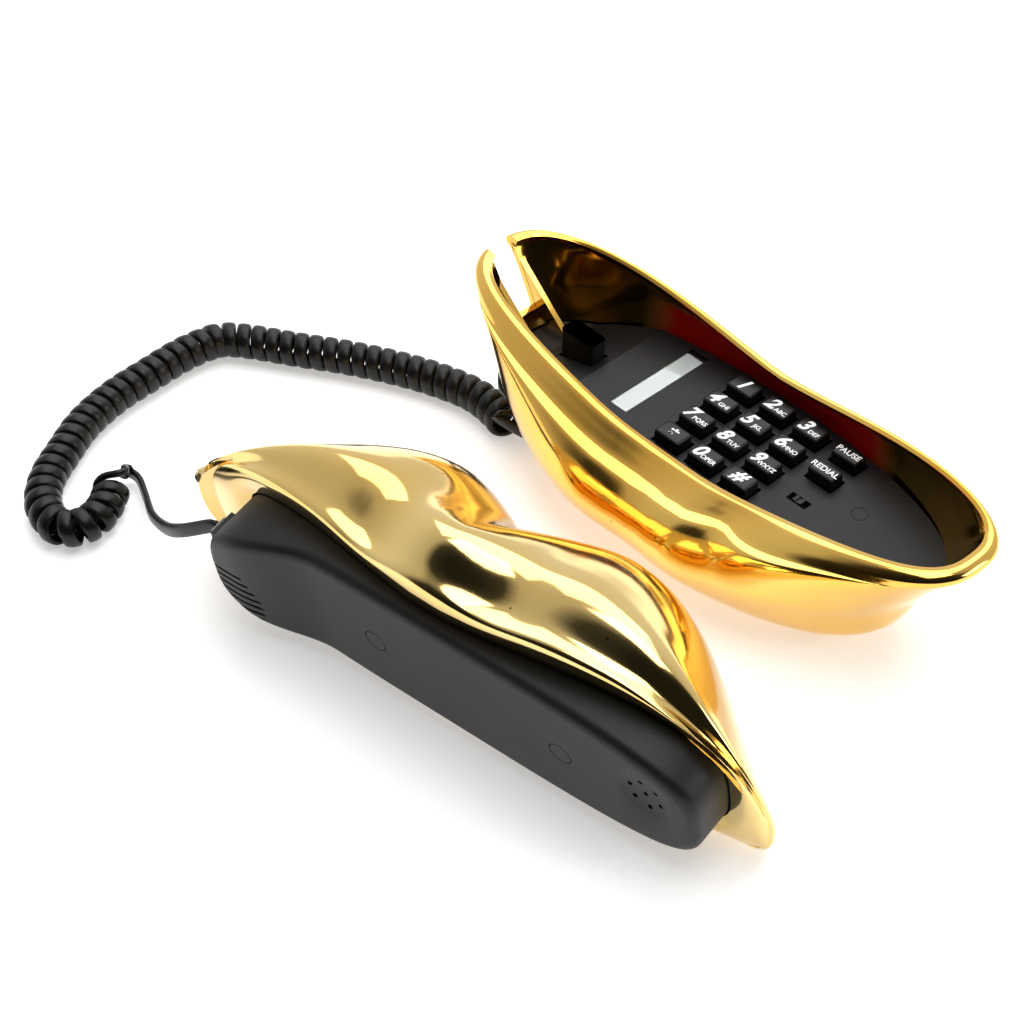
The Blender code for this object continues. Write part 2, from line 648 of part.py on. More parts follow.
COIL_ROUTE = ((-131.5, -133.8), (-127.0, -138.8), (-123.5, -145.0), (-123.4, -151.8),
              (-128.2, -156.6), (-138.9, -154.5), (-147.9, -146.8), (-154.7, -135.9),
              (-161.5, -123.2), (-165.6, -108.2), (-166.9, -93.0), (-167.6, -81.1),
              (-166.9, -72.4), (-164.8, -65.5), (-157.9, -59.3), (-143.5, -50.0),
              (-129.0, -40.4), (-113.7, -31.9), (-100.4, -26.2), (-87.4, -22.6),
              (-76.0, -23.0), (-69.5, -24.8))
HANDSET_LEAD = ((-86.0, -139.0, 23.0), (-97.0, -137.5, 15.0), (-110.5, -133.6, 8.0),
                (-122.5, -128.0, 4.5), (-131.0, -124.5, 3.5), (-135.5, -125.5, 4.5))
BASE_LEAD = ((-88.0, -3.2, 9.8), (-90.0, -7.0, 7.0), (-86.0, -11.5, 3.4), (-78.0, -12.5, 2.0),
             (-70.5, -11.5, 1.9), (-65.5, -14.5, 2.0), (-63.5, -20.5, 3.6))
PLUG_SHIFT = -3.0               # from the middle of a socket to the middle of its plug


def build_cord(handset_pose):
    """Plugs, leads and the coiled stretch of the cord."""
    _, width, height = SOCKET_SIZE
    plug_size = (11.0, width - 3.9, height - 3.3)
    plug = box("base_plug", plug_size, (BASE_SOCKET[0] + PLUG_SHIFT, *BASE_SOCKET[1:]), CLEAR)
    plug_face = min(vert.co.x for vert in plug.data.vertices) / MM
    base_start = Vector((plug_face - GAP, *BASE_SOCKET[1:]))

    far_x = HANDSET_SOCKET[0] + PLUG_SHIFT
    far_plug = box("handset_plug", plug_size, (far_x, *HANDSET_SOCKET[1:]), CLEAR)
    far_plug.matrix_world = handset_pose
    far_face = Vector((far_x - plug_size[0] / 2 - GAP, *HANDSET_SOCKET[1:])) * MM
    handset_start = handset_pose @ far_face / MM

    coil = [Vector((x, y, COIL_CENTRE_Z)) for x, y in COIL_ROUTE]
    into_first, into_last = coil[0] - coil[1], coil[-1] - coil[-2]
    first = [coil[0] + into_first.normalized() * reach for reach in (3.0, GAP + 0.1)]
    last = [coil[-1] + into_last.normalized() * reach for reach in (3.0, GAP + 0.1)]
    base_axis, handset_axis = Vector((-1, 0, 0)), handset_pose.to_3x3() @ Vector((-1, 0, 0))
    tube("cord_coil", smooth_path(coil, 6.0), COIL_RADIUS, RUBBER, resolution=4)
    tube("cord_lead_handset", smooth_path((handset_start, handset_start + 3 * handset_axis,
                                           *HANDSET_LEAD, *first), 4.0), CORD_RADIUS,
         RUBBER, resolution=2)
    tube("cord_lead_base", smooth_path((base_start, base_start + 3 * base_axis,
                                        *BASE_LEAD, *last), 4.0), CORD_RADIUS, RUBBER,
         resolution=2)


build_base_shell()
build_bottom()
build_deck()
build_keys()
build_label()
build_hook()
build_electronics()
handset_pieces, handset_guides = build_handset()
build_cord(lay_handset(handset_pieces, handset_guides))
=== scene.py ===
"""Looks of a lips-shaped desk telephone, off the hook: gold lips, black works and a curly cord."""
import logging
import math
from collections.abc import Callable, Sequence
from dataclasses import dataclass
from enum import Enum

import bpy
from mathutils import Matrix, Vector


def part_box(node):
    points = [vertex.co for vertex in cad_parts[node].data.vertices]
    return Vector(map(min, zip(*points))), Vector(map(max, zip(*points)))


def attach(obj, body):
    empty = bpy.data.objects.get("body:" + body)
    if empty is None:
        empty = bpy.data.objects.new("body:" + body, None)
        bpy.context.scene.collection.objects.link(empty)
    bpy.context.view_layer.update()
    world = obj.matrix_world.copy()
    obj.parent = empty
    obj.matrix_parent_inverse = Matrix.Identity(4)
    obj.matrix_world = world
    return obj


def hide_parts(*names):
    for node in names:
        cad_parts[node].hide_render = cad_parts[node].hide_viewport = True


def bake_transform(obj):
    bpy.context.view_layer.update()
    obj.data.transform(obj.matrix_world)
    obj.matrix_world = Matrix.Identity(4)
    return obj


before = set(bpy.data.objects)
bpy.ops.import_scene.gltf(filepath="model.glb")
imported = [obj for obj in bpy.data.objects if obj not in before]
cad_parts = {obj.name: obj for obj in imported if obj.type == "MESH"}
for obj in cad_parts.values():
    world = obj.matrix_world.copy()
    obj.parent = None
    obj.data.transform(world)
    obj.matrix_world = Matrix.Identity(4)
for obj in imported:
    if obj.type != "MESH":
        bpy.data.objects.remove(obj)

LOG = logging.getLogger("lips_telephone")
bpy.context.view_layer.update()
MM = 0.001

Piece = bpy.types.Object
Tree = bpy.types.NodeTree
Socket = bpy.types.NodeSocket


# ---------------------------------------------------------------- materials

def linear(hex_colour: str) -> tuple[float, float, float, float]:
    """Turn an sRGB hex colour into linear light.

    Args:
        hex_colour: Six hex digits.

    Returns:
        Red, green, blue and an alpha of 1.
    """
    channels = [int(hex_colour[start:start + 2], 16) / 255 for start in (0, 2, 4)]
    light = [c / 12.92 if c <= 0.04045 else ((c + 0.055) / 1.055) ** 2.4 for c in channels]
    return (*light, 1.0)


def add_node(tree: Tree, kind: str, settings: dict | None = None,
             inputs: dict | None = None, **attributes: object) -> bpy.types.Node:
    """Add a node with its settings and links.

    Args:
        tree: The node tree.
        kind: The node's type name.
        settings: Values of input sockets, by name or number.
        inputs: Output sockets to link, by the name or number of the input socket.
        **attributes: Properties of the node.

    Returns:
        The new node.
    """
    node = tree.nodes.new(kind)
    for name, value in attributes.items():
        setattr(node, name, value)
    for name, value in (settings or {}).items():
        node.inputs[name].default_value = value
    for name, socket in (inputs or {}).items():
        tree.links.new(socket, node.inputs[name])
    return node


def per_metre(size_mm: float) -> float:
    """Pattern scale that makes one cell of a real size."""
    return 1000.0 / size_mm


def add_noise(tree: Tree, where: Socket, size_mm: float, detail: float) -> Socket:
    """Add soft noise."""
    return add_node(tree, "ShaderNodeTexNoise", {"Scale": per_metre(size_mm), "Detail": detail},
                    {"Vector": where}).outputs["Fac"]


def remap(tree: Tree, value: Socket, low: float, high: float, start: float = 0.0,
          end: float = 1.0) -> Socket:
    """Stretch a value from one span to another and hold it at the ends."""
    spans = {"From Min": start, "From Max": end, "To Min": low, "To Max": high}
    return add_node(tree, "ShaderNodeMapRange", spans, {"Value": value}).outputs["Result"]


def new_material(name: str) -> tuple[bpy.types.Material, Tree, bpy.types.Node, Socket]:
    """Start a material.

    Args:
        name: Its name.

    Returns:
        The material, its node tree, its shader and the Object coordinates.
    """
    mat = bpy.data.materials.new(name)
    mat.use_nodes = True
    tree = mat.node_tree
    place = add_node(tree, "ShaderNodeTexCoord")
    return mat, tree, tree.nodes["Principled BSDF"], place.outputs["Object"]


@dataclass(frozen=True)
class MouldedPlastic:
    """Injection-moulded plastic: a satin skin with a fine grain."""

    name: str
    colour: str
    roughness: float = 0.42
    grain_mm: float = 0.45          # coarser than the real grit, which would not show
    relief_mm: float = 0.012
    specular: float = 0.3
    cloud_mm: float = 35.0
    cloud_light: tuple[float, float] = (0.86, 1.14)

    def material(self) -> bpy.types.Material:
        """Build the material.

        Returns:
            The material.
        """
        mat, tree, shader, where = new_material(self.name)
        shader.inputs["Specular IOR Level"].default_value = self.specular
        grain = add_noise(tree, where, self.grain_mm, 3.0)
        cloud = add_noise(tree, where, self.cloud_mm, 2.0)
        tint = add_node(tree, "ShaderNodeValToRGB", inputs={"Fac": cloud})
        for element, light in zip(tint.color_ramp.elements, self.cloud_light):
            element.color = (*[light * c for c in linear(self.colour)[:3]], 1.0)
        worn = remap(tree, cloud, self.roughness - 0.05, self.roughness + 0.06)
        bump = add_node(tree, "ShaderNodeBump", {"Strength": 1.0, "Distance": self.relief_mm * MM},
                        {"Height": grain})
        tree.links.new(tint.outputs["Color"], shader.inputs["Base Color"])
        tree.links.new(worn, shader.inputs["Roughness"])
        tree.links.new(bump.outputs["Normal"], shader.inputs["Normal"])
        return mat


@dataclass(frozen=True)
class MetallisedGold:
    """Gold-plated plastic: a slightly soft mirror with dust nibs and a faint orange peel."""

    name: str
    colour: str = "EFD28C"
    deep_colour: str = "E6BD68"
    roughness: float = 0.11
    cloud_mm: float = 60.0
    nib_spacing_mm: float = 9.0
    nib_mm: float = 0.45
    nib_light: tuple = (0.16, 0.09, 0.02, 1.0)
    peel_mm: float = 5.0
    relief_mm: float = 0.02
    # the red patch on the inner back wall: its colour, how metallic it is, and its low end, high
    # end and soft edge along each axis, in metres
    bare_patch: bool = False
    patch_colour: str = "D0160F"
    patch_metallic: float = 0.25
    patch: tuple = (("X", -0.046, 0.034, 0.012), ("Y", 0.016, 0.060, 0.002),
                    ("Z", 0.0, 0.0385, 0.002))

    def material(self) -> bpy.types.Material:
        """Build the material.

        Returns:
            The material.
        """
        mat, tree, shader, where = new_material(self.name)
        tint = add_node(tree, "ShaderNodeValToRGB",
                        inputs={"Fac": add_noise(tree, where, self.cloud_mm, 2.0)})
        stops = ((0.3, self.deep_colour), (0.6, self.colour))
        for element, (position, colour) in zip(tint.color_ramp.elements, stops):
            element.position = position
            element.color = linear(colour)
        nibs = add_node(tree, "ShaderNodeTexVoronoi",
                        {"Scale": per_metre(self.nib_spacing_mm), "Randomness": 1.0},
                        {"Vector": where})
        reach = self.nib_mm / self.nib_spacing_mm
        spot = remap(tree, nibs.outputs["Distance"], 1.0, 0.0, 0.4 * reach, reach)
        dulled = add_node(tree, "ShaderNodeMix", {7: self.nib_light},
                          {0: spot, 6: tint.outputs["Color"]}, data_type="RGBA")
        colour = dulled.outputs[2]
        peel = add_noise(tree, where, self.peel_mm, 1.0)
        height = add_node(tree, "ShaderNodeMath", inputs={0: peel, 1: spot}, operation="ADD")
        bump = add_node(tree, "ShaderNodeBump", {"Strength": 0.5, "Distance": self.relief_mm * MM},
                        {"Height": height.outputs["Value"]})
        if self.bare_patch:
            mask = self._patch_mask(tree, where)
            red = add_node(tree, "ShaderNodeMix", {7: linear(self.patch_colour)},
                           {0: mask, 6: colour}, data_type="RGBA")
            colour = red.outputs[2]
            tree.links.new(remap(tree, mask, 1.0, self.patch_metallic), shader.inputs["Metallic"])
        tree.links.new(colour, shader.inputs["Base Color"])
        tree.links.new(bump.outputs["Normal"], shader.inputs["Normal"])
        shader.inputs["Metallic"].default_value = 1.0
        shader.inputs["Roughness"].default_value = self.roughness
        return mat

    def _patch_mask(self, tree: Tree, where: Socket) -> Socket:
        """Mask of the red patch.

        Args:
            tree: The node tree.
            where: The Object coordinates.

        Returns:
            1 inside the patch's box and 0 outside, with soft edges.
        """
        parts = add_node(tree, "ShaderNodeSeparateXYZ", inputs={"Vector": where})
        shares = []
        for axis, low, high, soft in self.patch:
            value = parts.outputs[axis]
            shares.append(remap(tree, value, 0.0, 1.0, low - soft, low))
            shares.append(remap(tree, value, 1.0, 0.0, high, high + soft))
        mask = shares[0]
        for share in shares[1:]:
            mask = add_node(tree, "ShaderNodeMath", inputs={0: mask, 1: share},
                            operation="MULTIPLY").outputs[0]
        return mask


@dataclass(frozen=True)
class PlainFinish:
    """A small part's finish: metal, ink, card or clear plastic."""

    name: str
    colour: str
    roughness: float
    metallic: float = 0.0
    transmission: float = 0.0
    mottle_mm: float = 3.0

    def material(self) -> bpy.types.Material:
        """Build the material.

        Returns:
            The material.
        """
        mat, tree, shader, where = new_material(self.name)
        shader.inputs["Metallic"].default_value = self.metallic
        shader.inputs["Transmission Weight"].default_value = self.transmission
        shader.inputs["Base Color"].default_value = linear(self.colour)
        worn = remap(tree, add_noise(tree, where, self.mottle_mm, 3.0), 0.85 * self.roughness,
                     min(1.2 * self.roughness, 1.0))
        tree.links.new(worn, shader.inputs["Roughness"])
        return mat


class Stuff(Enum):
    """Every finish on the telephone."""

    # upper lip: pale gold that mirrors the room, slightly blurred
    GOLD = MetallisedGold("metallised_gold")
    # outside of the lower lip: a deeper, more orange gold; the extra depth is a painted reflection of the
    # pale floor on the same plating
    GOLD_BASE = MetallisedGold("metallised_gold_base_painted_reflection", colour="F4C868", deep_colour="EAB04A")
    # its inside: a browner gold with a red patch on the back wall
    GOLD_INSIDE = MetallisedGold("metallised_gold_inside", colour="D6AE58", deep_colour="A87A30",
                                 roughness=0.11, bare_patch=True)
    # near black, with soft wide highlights; the keys are a little shinier
    BLACK = MouldedPlastic("black_abs", "111112", roughness=0.46)
    DECK = MouldedPlastic("black_abs_deck", "0E0E0F", roughness=0.5, grain_mm=0.6, relief_mm=0.015)
    KEY = MouldedPlastic("black_key_abs", "0B0B0C", roughness=0.36, relief_mm=0.006)
    # black and smooth, with a highlight along every turn
    CORD = MouldedPlastic("black_cord_pvc", "090909", roughness=0.36, grain_mm=0.8, relief_mm=0.005)
    # dull black feet, a grey sheet and a green board, none seen in the photograph
    RUBBER = MouldedPlastic("black_rubber", "161616", roughness=0.75, relief_mm=0.02)
    SILICONE = MouldedPlastic("grey_silicone", "808082", roughness=0.6)
    BOARD = MouldedPlastic("board_resin", "1E5A2C", roughness=0.45, grain_mm=1.5)
    # nearly matt white print and card, and a clear, shiny cover
    INK = PlainFinish("white_ink", "F4F4F2", 0.55)
    CARD = PlainFinish("white_card", "F6F6F4", 0.6)
    CLEAR = PlainFinish("clear_styrene", "F4F8F8", 0.06, transmission=0.9)
    # metal with soft highlights
    STEEL = PlainFinish("plated_steel", "BFC0C2", 0.28, metallic=1.0)
    BRASS = PlainFinish("bare_brass", "D8B165", 0.32, metallic=1.0)


_MADE: dict[Stuff, bpy.types.Material] = {}


def made_of(stuff: Stuff) -> bpy.types.Material:
    """The material of a finish, made once.

    Args:
        stuff: The finish.

    Returns:
        Its material.
    """
    if stuff not in _MADE:
        _MADE[stuff] = stuff.value.material()
    return _MADE[stuff]


# ---------------------------------------------------------------- modelling helpers

def deselect_all() -> None:
    """Leave nothing selected."""
    if bpy.context.object is not None and bpy.context.object.mode != "OBJECT":
        bpy.ops.object.mode_set(mode="OBJECT")
    bpy.ops.object.select_all(action="DESELECT")


def select_only(piece: Piece) -> None:
    """Make a piece the one selected, active object.

    Args:
        piece: The piece.
    """
    deselect_all()
    piece.select_set(True)
    bpy.context.view_layer.objects.active = piece


def settle(piece: Piece) -> None:
    """Move a piece's place, turn and scale into its mesh."""
    select_only(piece)
    bpy.ops.object.transform_apply(location=True, rotation=True, scale=True)


def add_cube(name: str, size: Sequence[float], centre: Sequence[float]) -> Piece:
    """Add a box as a primitive.

    Args:
        name: Name of the box.
        size: Its sides in millimetres.
        centre: Its middle in millimetres.

    Returns:
        The box.
    """
    deselect_all()
    bpy.ops.mesh.primitive_cube_add(size=1.0, location=[MM * c for c in centre])
    piece = bpy.context.object
    piece.name = name
    piece.scale = [MM * s for s in size]
    settle(piece)
    return piece


def add_cylinder(name: str, radius: float, depth: float, centre: Sequence[float],
                 sides: int = 48) -> Piece:
    """Add an upright cylinder as a primitive.

    Args:
        name: Name of the cylinder.
        radius: Its radius in millimetres.
        depth: Its height in millimetres.
        centre: Its middle in millimetres.
        sides: How many sides it has.

    Returns:
        The cylinder.
    """
    deselect_all()
    bpy.ops.mesh.primitive_cylinder_add(vertices=sides, radius=MM * radius, depth=MM * depth,
                                        location=[MM * c for c in centre])
    piece = bpy.context.object
    piece.name = name
    settle(piece)
    return piece


def cut(piece: Piece, cutter: Piece, operation: str = "DIFFERENCE",
        solver: str = "EXACT") -> None:
    """Cut one piece with another, or join them, and remove the cutter.

    Args:
        piece: The piece that stays.
        cutter: The piece that is used up.
        operation: The boolean operation.
        solver: The boolean solver.
    """
    select_only(piece)
    boolean = piece.modifiers.new("cut", "BOOLEAN")
    boolean.operation = operation
    boolean.object = cutter
    boolean.solver = solver
    bpy.ops.object.modifier_apply(modifier="cut")
    bpy.data.objects.remove(cutter, do_unlink=True)


def round_edges(piece: Piece, width_mm: float, segments: int = 3, angle: float = 30.0) -> None:
    """Bevel a piece's sharp edges and apply the bevel.

    Args:
        piece: The piece.
        width_mm: Width of the bevel in millimetres.
        segments: Segments of the bevel.
        angle: Edges sharper than this, in degrees, are bevelled.
    """
    select_only(piece)
    bevel = piece.modifiers.new("bevel", "BEVEL")
    bevel.width = width_mm * MM
    bevel.segments = segments
    bevel.limit_method = "ANGLE"
    bevel.angle_limit = math.radians(angle)
    bpy.ops.object.modifier_apply(modifier="bevel")


def smooth(piece: Piece, angle: float = 35.0) -> None:
    """Shade a piece smooth below an angle."""
    select_only(piece)
    bpy.ops.object.shade_smooth_by_angle(angle=math.radians(angle))


def dress(piece: Piece, stuff: Stuff, slot: str, body: str,
          *replaced: str) -> Piece:
    """Give a new piece its finish and its body.

    Args:
        piece: The piece.
        stuff: Its finish.
        slot: Not used.
        body: The CAD body that it rides on.
        *replaced: CAD nodes that it stands for.

    Returns:
        The piece.
    """
    if not piece.data.materials:
        piece.data.materials.append(made_of(stuff))
    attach(piece, body)
    if replaced:
        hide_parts(*replaced)
    LOG.info("%s on %s", piece.name, body)
    return piece


def box_of(node: str) -> tuple[Vector, Vector, Vector, Vector]:
    """The box of a CAD node, in millimetres."""
    low, high = (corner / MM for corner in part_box(node))
    return low, high, (low + high) / 2, high - low


def slice_off(piece: Piece, place: Sequence[float], outward: Sequence[float]) -> None:
    """Cut away what lies beyond a plane and close the cut.

    Args:
        piece: The piece.
        place: A point of the plane, in millimetres.
        outward: The plane's normal, in millimetres, towards what goes.
    """
    select_only(piece)
    bpy.ops.object.mode_set(mode="EDIT")
    bpy.ops.mesh.select_all(action="SELECT")
    bpy.ops.mesh.bisect(plane_co=[MM * c for c in place], plane_no=[MM * c for c in outward],
                        use_fill=True, clear_outer=True)
    bpy.ops.object.mode_set(mode="OBJECT")


def loft(name: str, rings: Sequence[Sequence[Sequence[float]]], closed_first: bool = False,
         closed_last: bool = False) -> Piece:
    """Skin a stack of rings, given in millimetres from the bottom up.

    Args:
        name: Name of the piece.
        rings: Rings with the same number of points, each going round anticlockwise.
        closed_first: Whether rungs close the first ring.
        closed_last: Whether rungs close the last ring.

    Returns:
        The open or closed surface.
    """
    count = len(rings[0])
    points = [[MM * c for c in point] for ring in rings for point in ring]
    faces = []
    for row in range(len(rings) - 1):
        for index in range(count):
            after = (index + 1) % count
            low, high = row * count, (row + 1) * count
            faces.append((low + index, low + after, high + after, high + index))
    for closed, start, flip in ((closed_first, 0, True), (closed_last, count * (len(rings) - 1), False)):
        for index in range(count // 2 if closed else 0):
            around = (index, index + 1, -(index + 1) % count, -index % count)
            corners = [start + corner for corner in dict.fromkeys(around)]
            faces.append(tuple(reversed(corners)) if flip else tuple(corners))
    mesh = bpy.data.meshes.new(name)
    mesh.from_pydata(points, [], faces)
    mesh.validate()
    piece = bpy.data.objects.new(name, mesh)
    bpy.context.scene.collection.objects.link(piece)
    return piece


def thicken(piece: Piece, wall_mm: float, inner_material: int = 0) -> None:
    """Give a surface its wall, inwards, and apply it.

    Args:
        piece: The surface.
        wall_mm: Thickness of the wall in millimetres.
        inner_material: How many material slots on the inner side's finish is.
    """
    select_only(piece)
    wall = piece.modifiers.new("wall", "SOLIDIFY")
    wall.thickness = wall_mm * MM
    wall.offset = -1.0
    wall.material_offset = inner_material
    bpy.ops.object.modifier_apply(modifier="wall")


def spline_rows(rows: Sequence[Sequence[float]], steps: int) -> list[list[float]]:
    """Rows of numbers with smooth rows put between them.

    Args:
        rows: The given rows.
        steps: How many new rows each gap becomes.

    Returns:
        The finer list of rows.
    """
    ends = [rows[0], *rows, rows[-1]]
    fine = []
    for before, left, right, after in zip(ends, ends[1:], ends[2:], ends[3:]):
        for step in range(steps):
            t = step / steps
            fine.append([0.5 * (2 * b + (c - a) * t + (2 * a - 5 * b + 4 * c - d) * t ** 2
                                + (3 * b - a - 3 * c + d) * t ** 3)
                         for a, b, c, d in zip(before, left, right, after)])
    fine.append(list(rows[-1]))
    return fine


def superellipse(angle: float, exponent: float) -> tuple[float, float]:
    """Point of a unit superellipse.

    Args:
        angle: Angle in radians.
        exponent: 2 is a circle, and more is squarer.

    Returns:
        Its x and y.
    """
    cosine, sine = math.cos(angle), math.sin(angle)
    power = 2.0 / exponent
    return (math.copysign(abs(cosine) ** power, cosine), math.copysign(abs(sine) ** power, sine))


def hump(x: float, centre: float, width: float) -> float:
    """A smooth bump of height 1."""
    return math.exp(-((x - centre) / width) ** 2)


RIM_RISE = 12.0
RIM_RISE_LENGTH = 60.0


def corner_rise(x: float) -> float:
    """Share of the mouth line's rise: 0 at the middle, near 1 at the corners."""
    return 1 - math.exp(-(abs(x) / RIM_RISE_LENGTH) ** 1.6)


# ---------------------------------------------------------------- lower lip

@dataclass
class LowerLip:
    """The base's gold shell: a lip-shaped bowl with a rolled rim and a slot for the cord."""

    wall: float = 2.2
    centre_x: float = -1.5
    horn_rise: float = 2.5
    right_trim: float = 3.5         # the right end is fuller at the rim than below it
    slot_y: float = -2.0
    slot_width: float = 10.0
    slot_floor_z: float = 29.0
    socket_gap: float = 0.7
    cheek_size: tuple = (22, 1.8, 19.8)
    # a point and the outward normal of each end plane of a cheek
    cheek_ends: tuple = (((-73.0, 0, 26.2), (19.8, 0, 22.0)), ((-87.0, 0, 26.2), (-19.8, 0, -8.2)))
    points: int = 180
    steps: int = 7
    # half length, front depth, back depth, front height, back height, share of rise, front and
    # back roundness, share of the skin folds
    rings: tuple = (
        (60.0, 22.0, 15.0, 1.2, 1.2, 0.0, 2.3, 2.3, 0.0),
        (70.0, 32.0, 21.0, 3.5, 3.5, 0.0, 2.1, 2.3, 0.0),
        (78.0, 41.5, 27.0, 12.0, 12.0, 0.0, 1.9, 2.3, 0.1),
        (84.5, 46.0, 31.0, 20.5, 22.0, 0.3, 1.9, 2.3, 0.35),
        (90.5, 45.0, 32.0, 28.0, 29.0, 0.7, 1.95, 2.3, 0.6),
        (95.5, 40.0, 31.5, 33.5, 33.0, 1.0, 2.2, 2.4, 1.0),
        (98.0, 35.0, 30.5, 34.4, 36.0, 1.0, 2.4, 2.5, 1.0),
        (98.0, 31.0, 29.3, 36.8, 38.2, 1.0, 2.7, 2.5, 0.6),
        (95.5, 27.5, 27.8, 39.0, 39.0, 1.0, 2.8, 2.6, 0.0),
        (93.0, 24.6, 26.2, 38.5, 38.3, 1.0, 2.8, 2.7, 0.0),
    )

    def folds(self, x: float) -> float:
        """How far the lower lip's front skin stands out or in.

        Args:
            x: Distance along the lip in millimetres.

        Returns:
            The distance outwards in millimetres.
        """
        wrinkles = 0.25 * math.sin(2 * math.pi * x / 9.0 + 0.4) * hump(x, 8.0, 24.0)
        pillow = 2.4 * hump(x, 50.0, 15.0)
        tuck = -3.2 * hump(x, 31.0, 7.0)
        return wrinkles + pillow + tuck

    def ring(self, half_length: float, front: float, back: float, front_z: float, back_z: float,
             rise: float, front_round: float, back_round: float, fold: float) -> list[tuple]:
        """One ring of the shell.

        Args:
            half_length: Half of the ring's length.
            front: Depth of its front half.
            back: Depth of its back half.
            front_z: Height at the front.
            back_z: Height at the back.
            rise: Share of the corners' rise.
            front_round: Superellipse exponent of the front half.
            back_round: Superellipse exponent of the back half.
            fold: Share of the skin folds.

        Returns:
            The ring's points, in millimetres.
        """
        found = []
        for index in range(self.points):
            angle = 2 * math.pi * index / self.points
            at_front = math.sin(angle) < 0
            along, across = superellipse(angle, front_round if at_front else back_round)
            x = half_length * along - self.right_trim * hump(front_z, 18.0, 9.0) * max(along, 0.0)
            dip = 1 - 0.06 * hump(x, 0.0, 15.0)
            y = across * (front * dip if at_front else back)
            frontness = 0.5 - 0.5 * math.sin(angle)
            if at_front:
                y -= fold * self.folds(x) * min(1.0, abs(across) * 1.5)
            top = RIM_RISE + (self.horn_rise if x < 0 else 0.0)
            z = front_z * frontness + back_z * (1 - frontness) + rise * top * corner_rise(x)
            found.append((self.centre_x + x, y, z))
        return found

    def build(self) -> None:
        """Model the shell, cut its slot and socket holes, and add the slot's cheeks."""
        rows = spline_rows(self.rings, self.steps)
        lip = loft("lower_lip", [self.ring(*row) for row in rows])
        # outside: the gold painted deeper and more orange for the floor's reflection
        lip.data.materials.append(made_of(Stuff.GOLD_BASE))
        lip.data.materials.append(made_of(Stuff.GOLD_INSIDE))
        thicken(lip, self.wall, inner_material=1)
        _, _, cord, cord_size = box_of("base_cord_socket")
        _, _, line, line_size = box_of("line_socket")
        gap = self.socket_gap
        ways = (("slot", (40, self.slot_width, 40), (-100, self.slot_y, self.slot_floor_z + 20)),
                ("cord_way", (40, cord_size.y + gap, cord_size.z + gap), (-86, cord.y, cord.z)),
                ("line_way", (line_size.x + gap, 30, line_size.z + gap), (line.x, 28, line.z)))
        for way in ways:
            cut(lip, add_cube(*way), solver="FAST")
        for side in (-1, 1):
            cut(lip, self.cheek(side), "UNION", solver="FAST")
        smooth(lip, 40.0)
        dress(lip, Stuff.GOLD_BASE, "gold", "base", "base_shell")

    def cheek(self, side: int) -> Piece:
        """A triangular web beside the cord slot.

        Args:
            side: -1 for the front one and 1 for the back one.

        Returns:
            The web.
        """
        y = self.slot_y + side * (self.slot_width / 2 + 1.0)
        web = add_cube(f"slot_cheek_{side}", self.cheek_size, (-84, y, 36.1))
        for place, outward in self.cheek_ends:
            slice_off(web, place, outward)
        return web


# ---------------------------------------------------------------- deck and keys

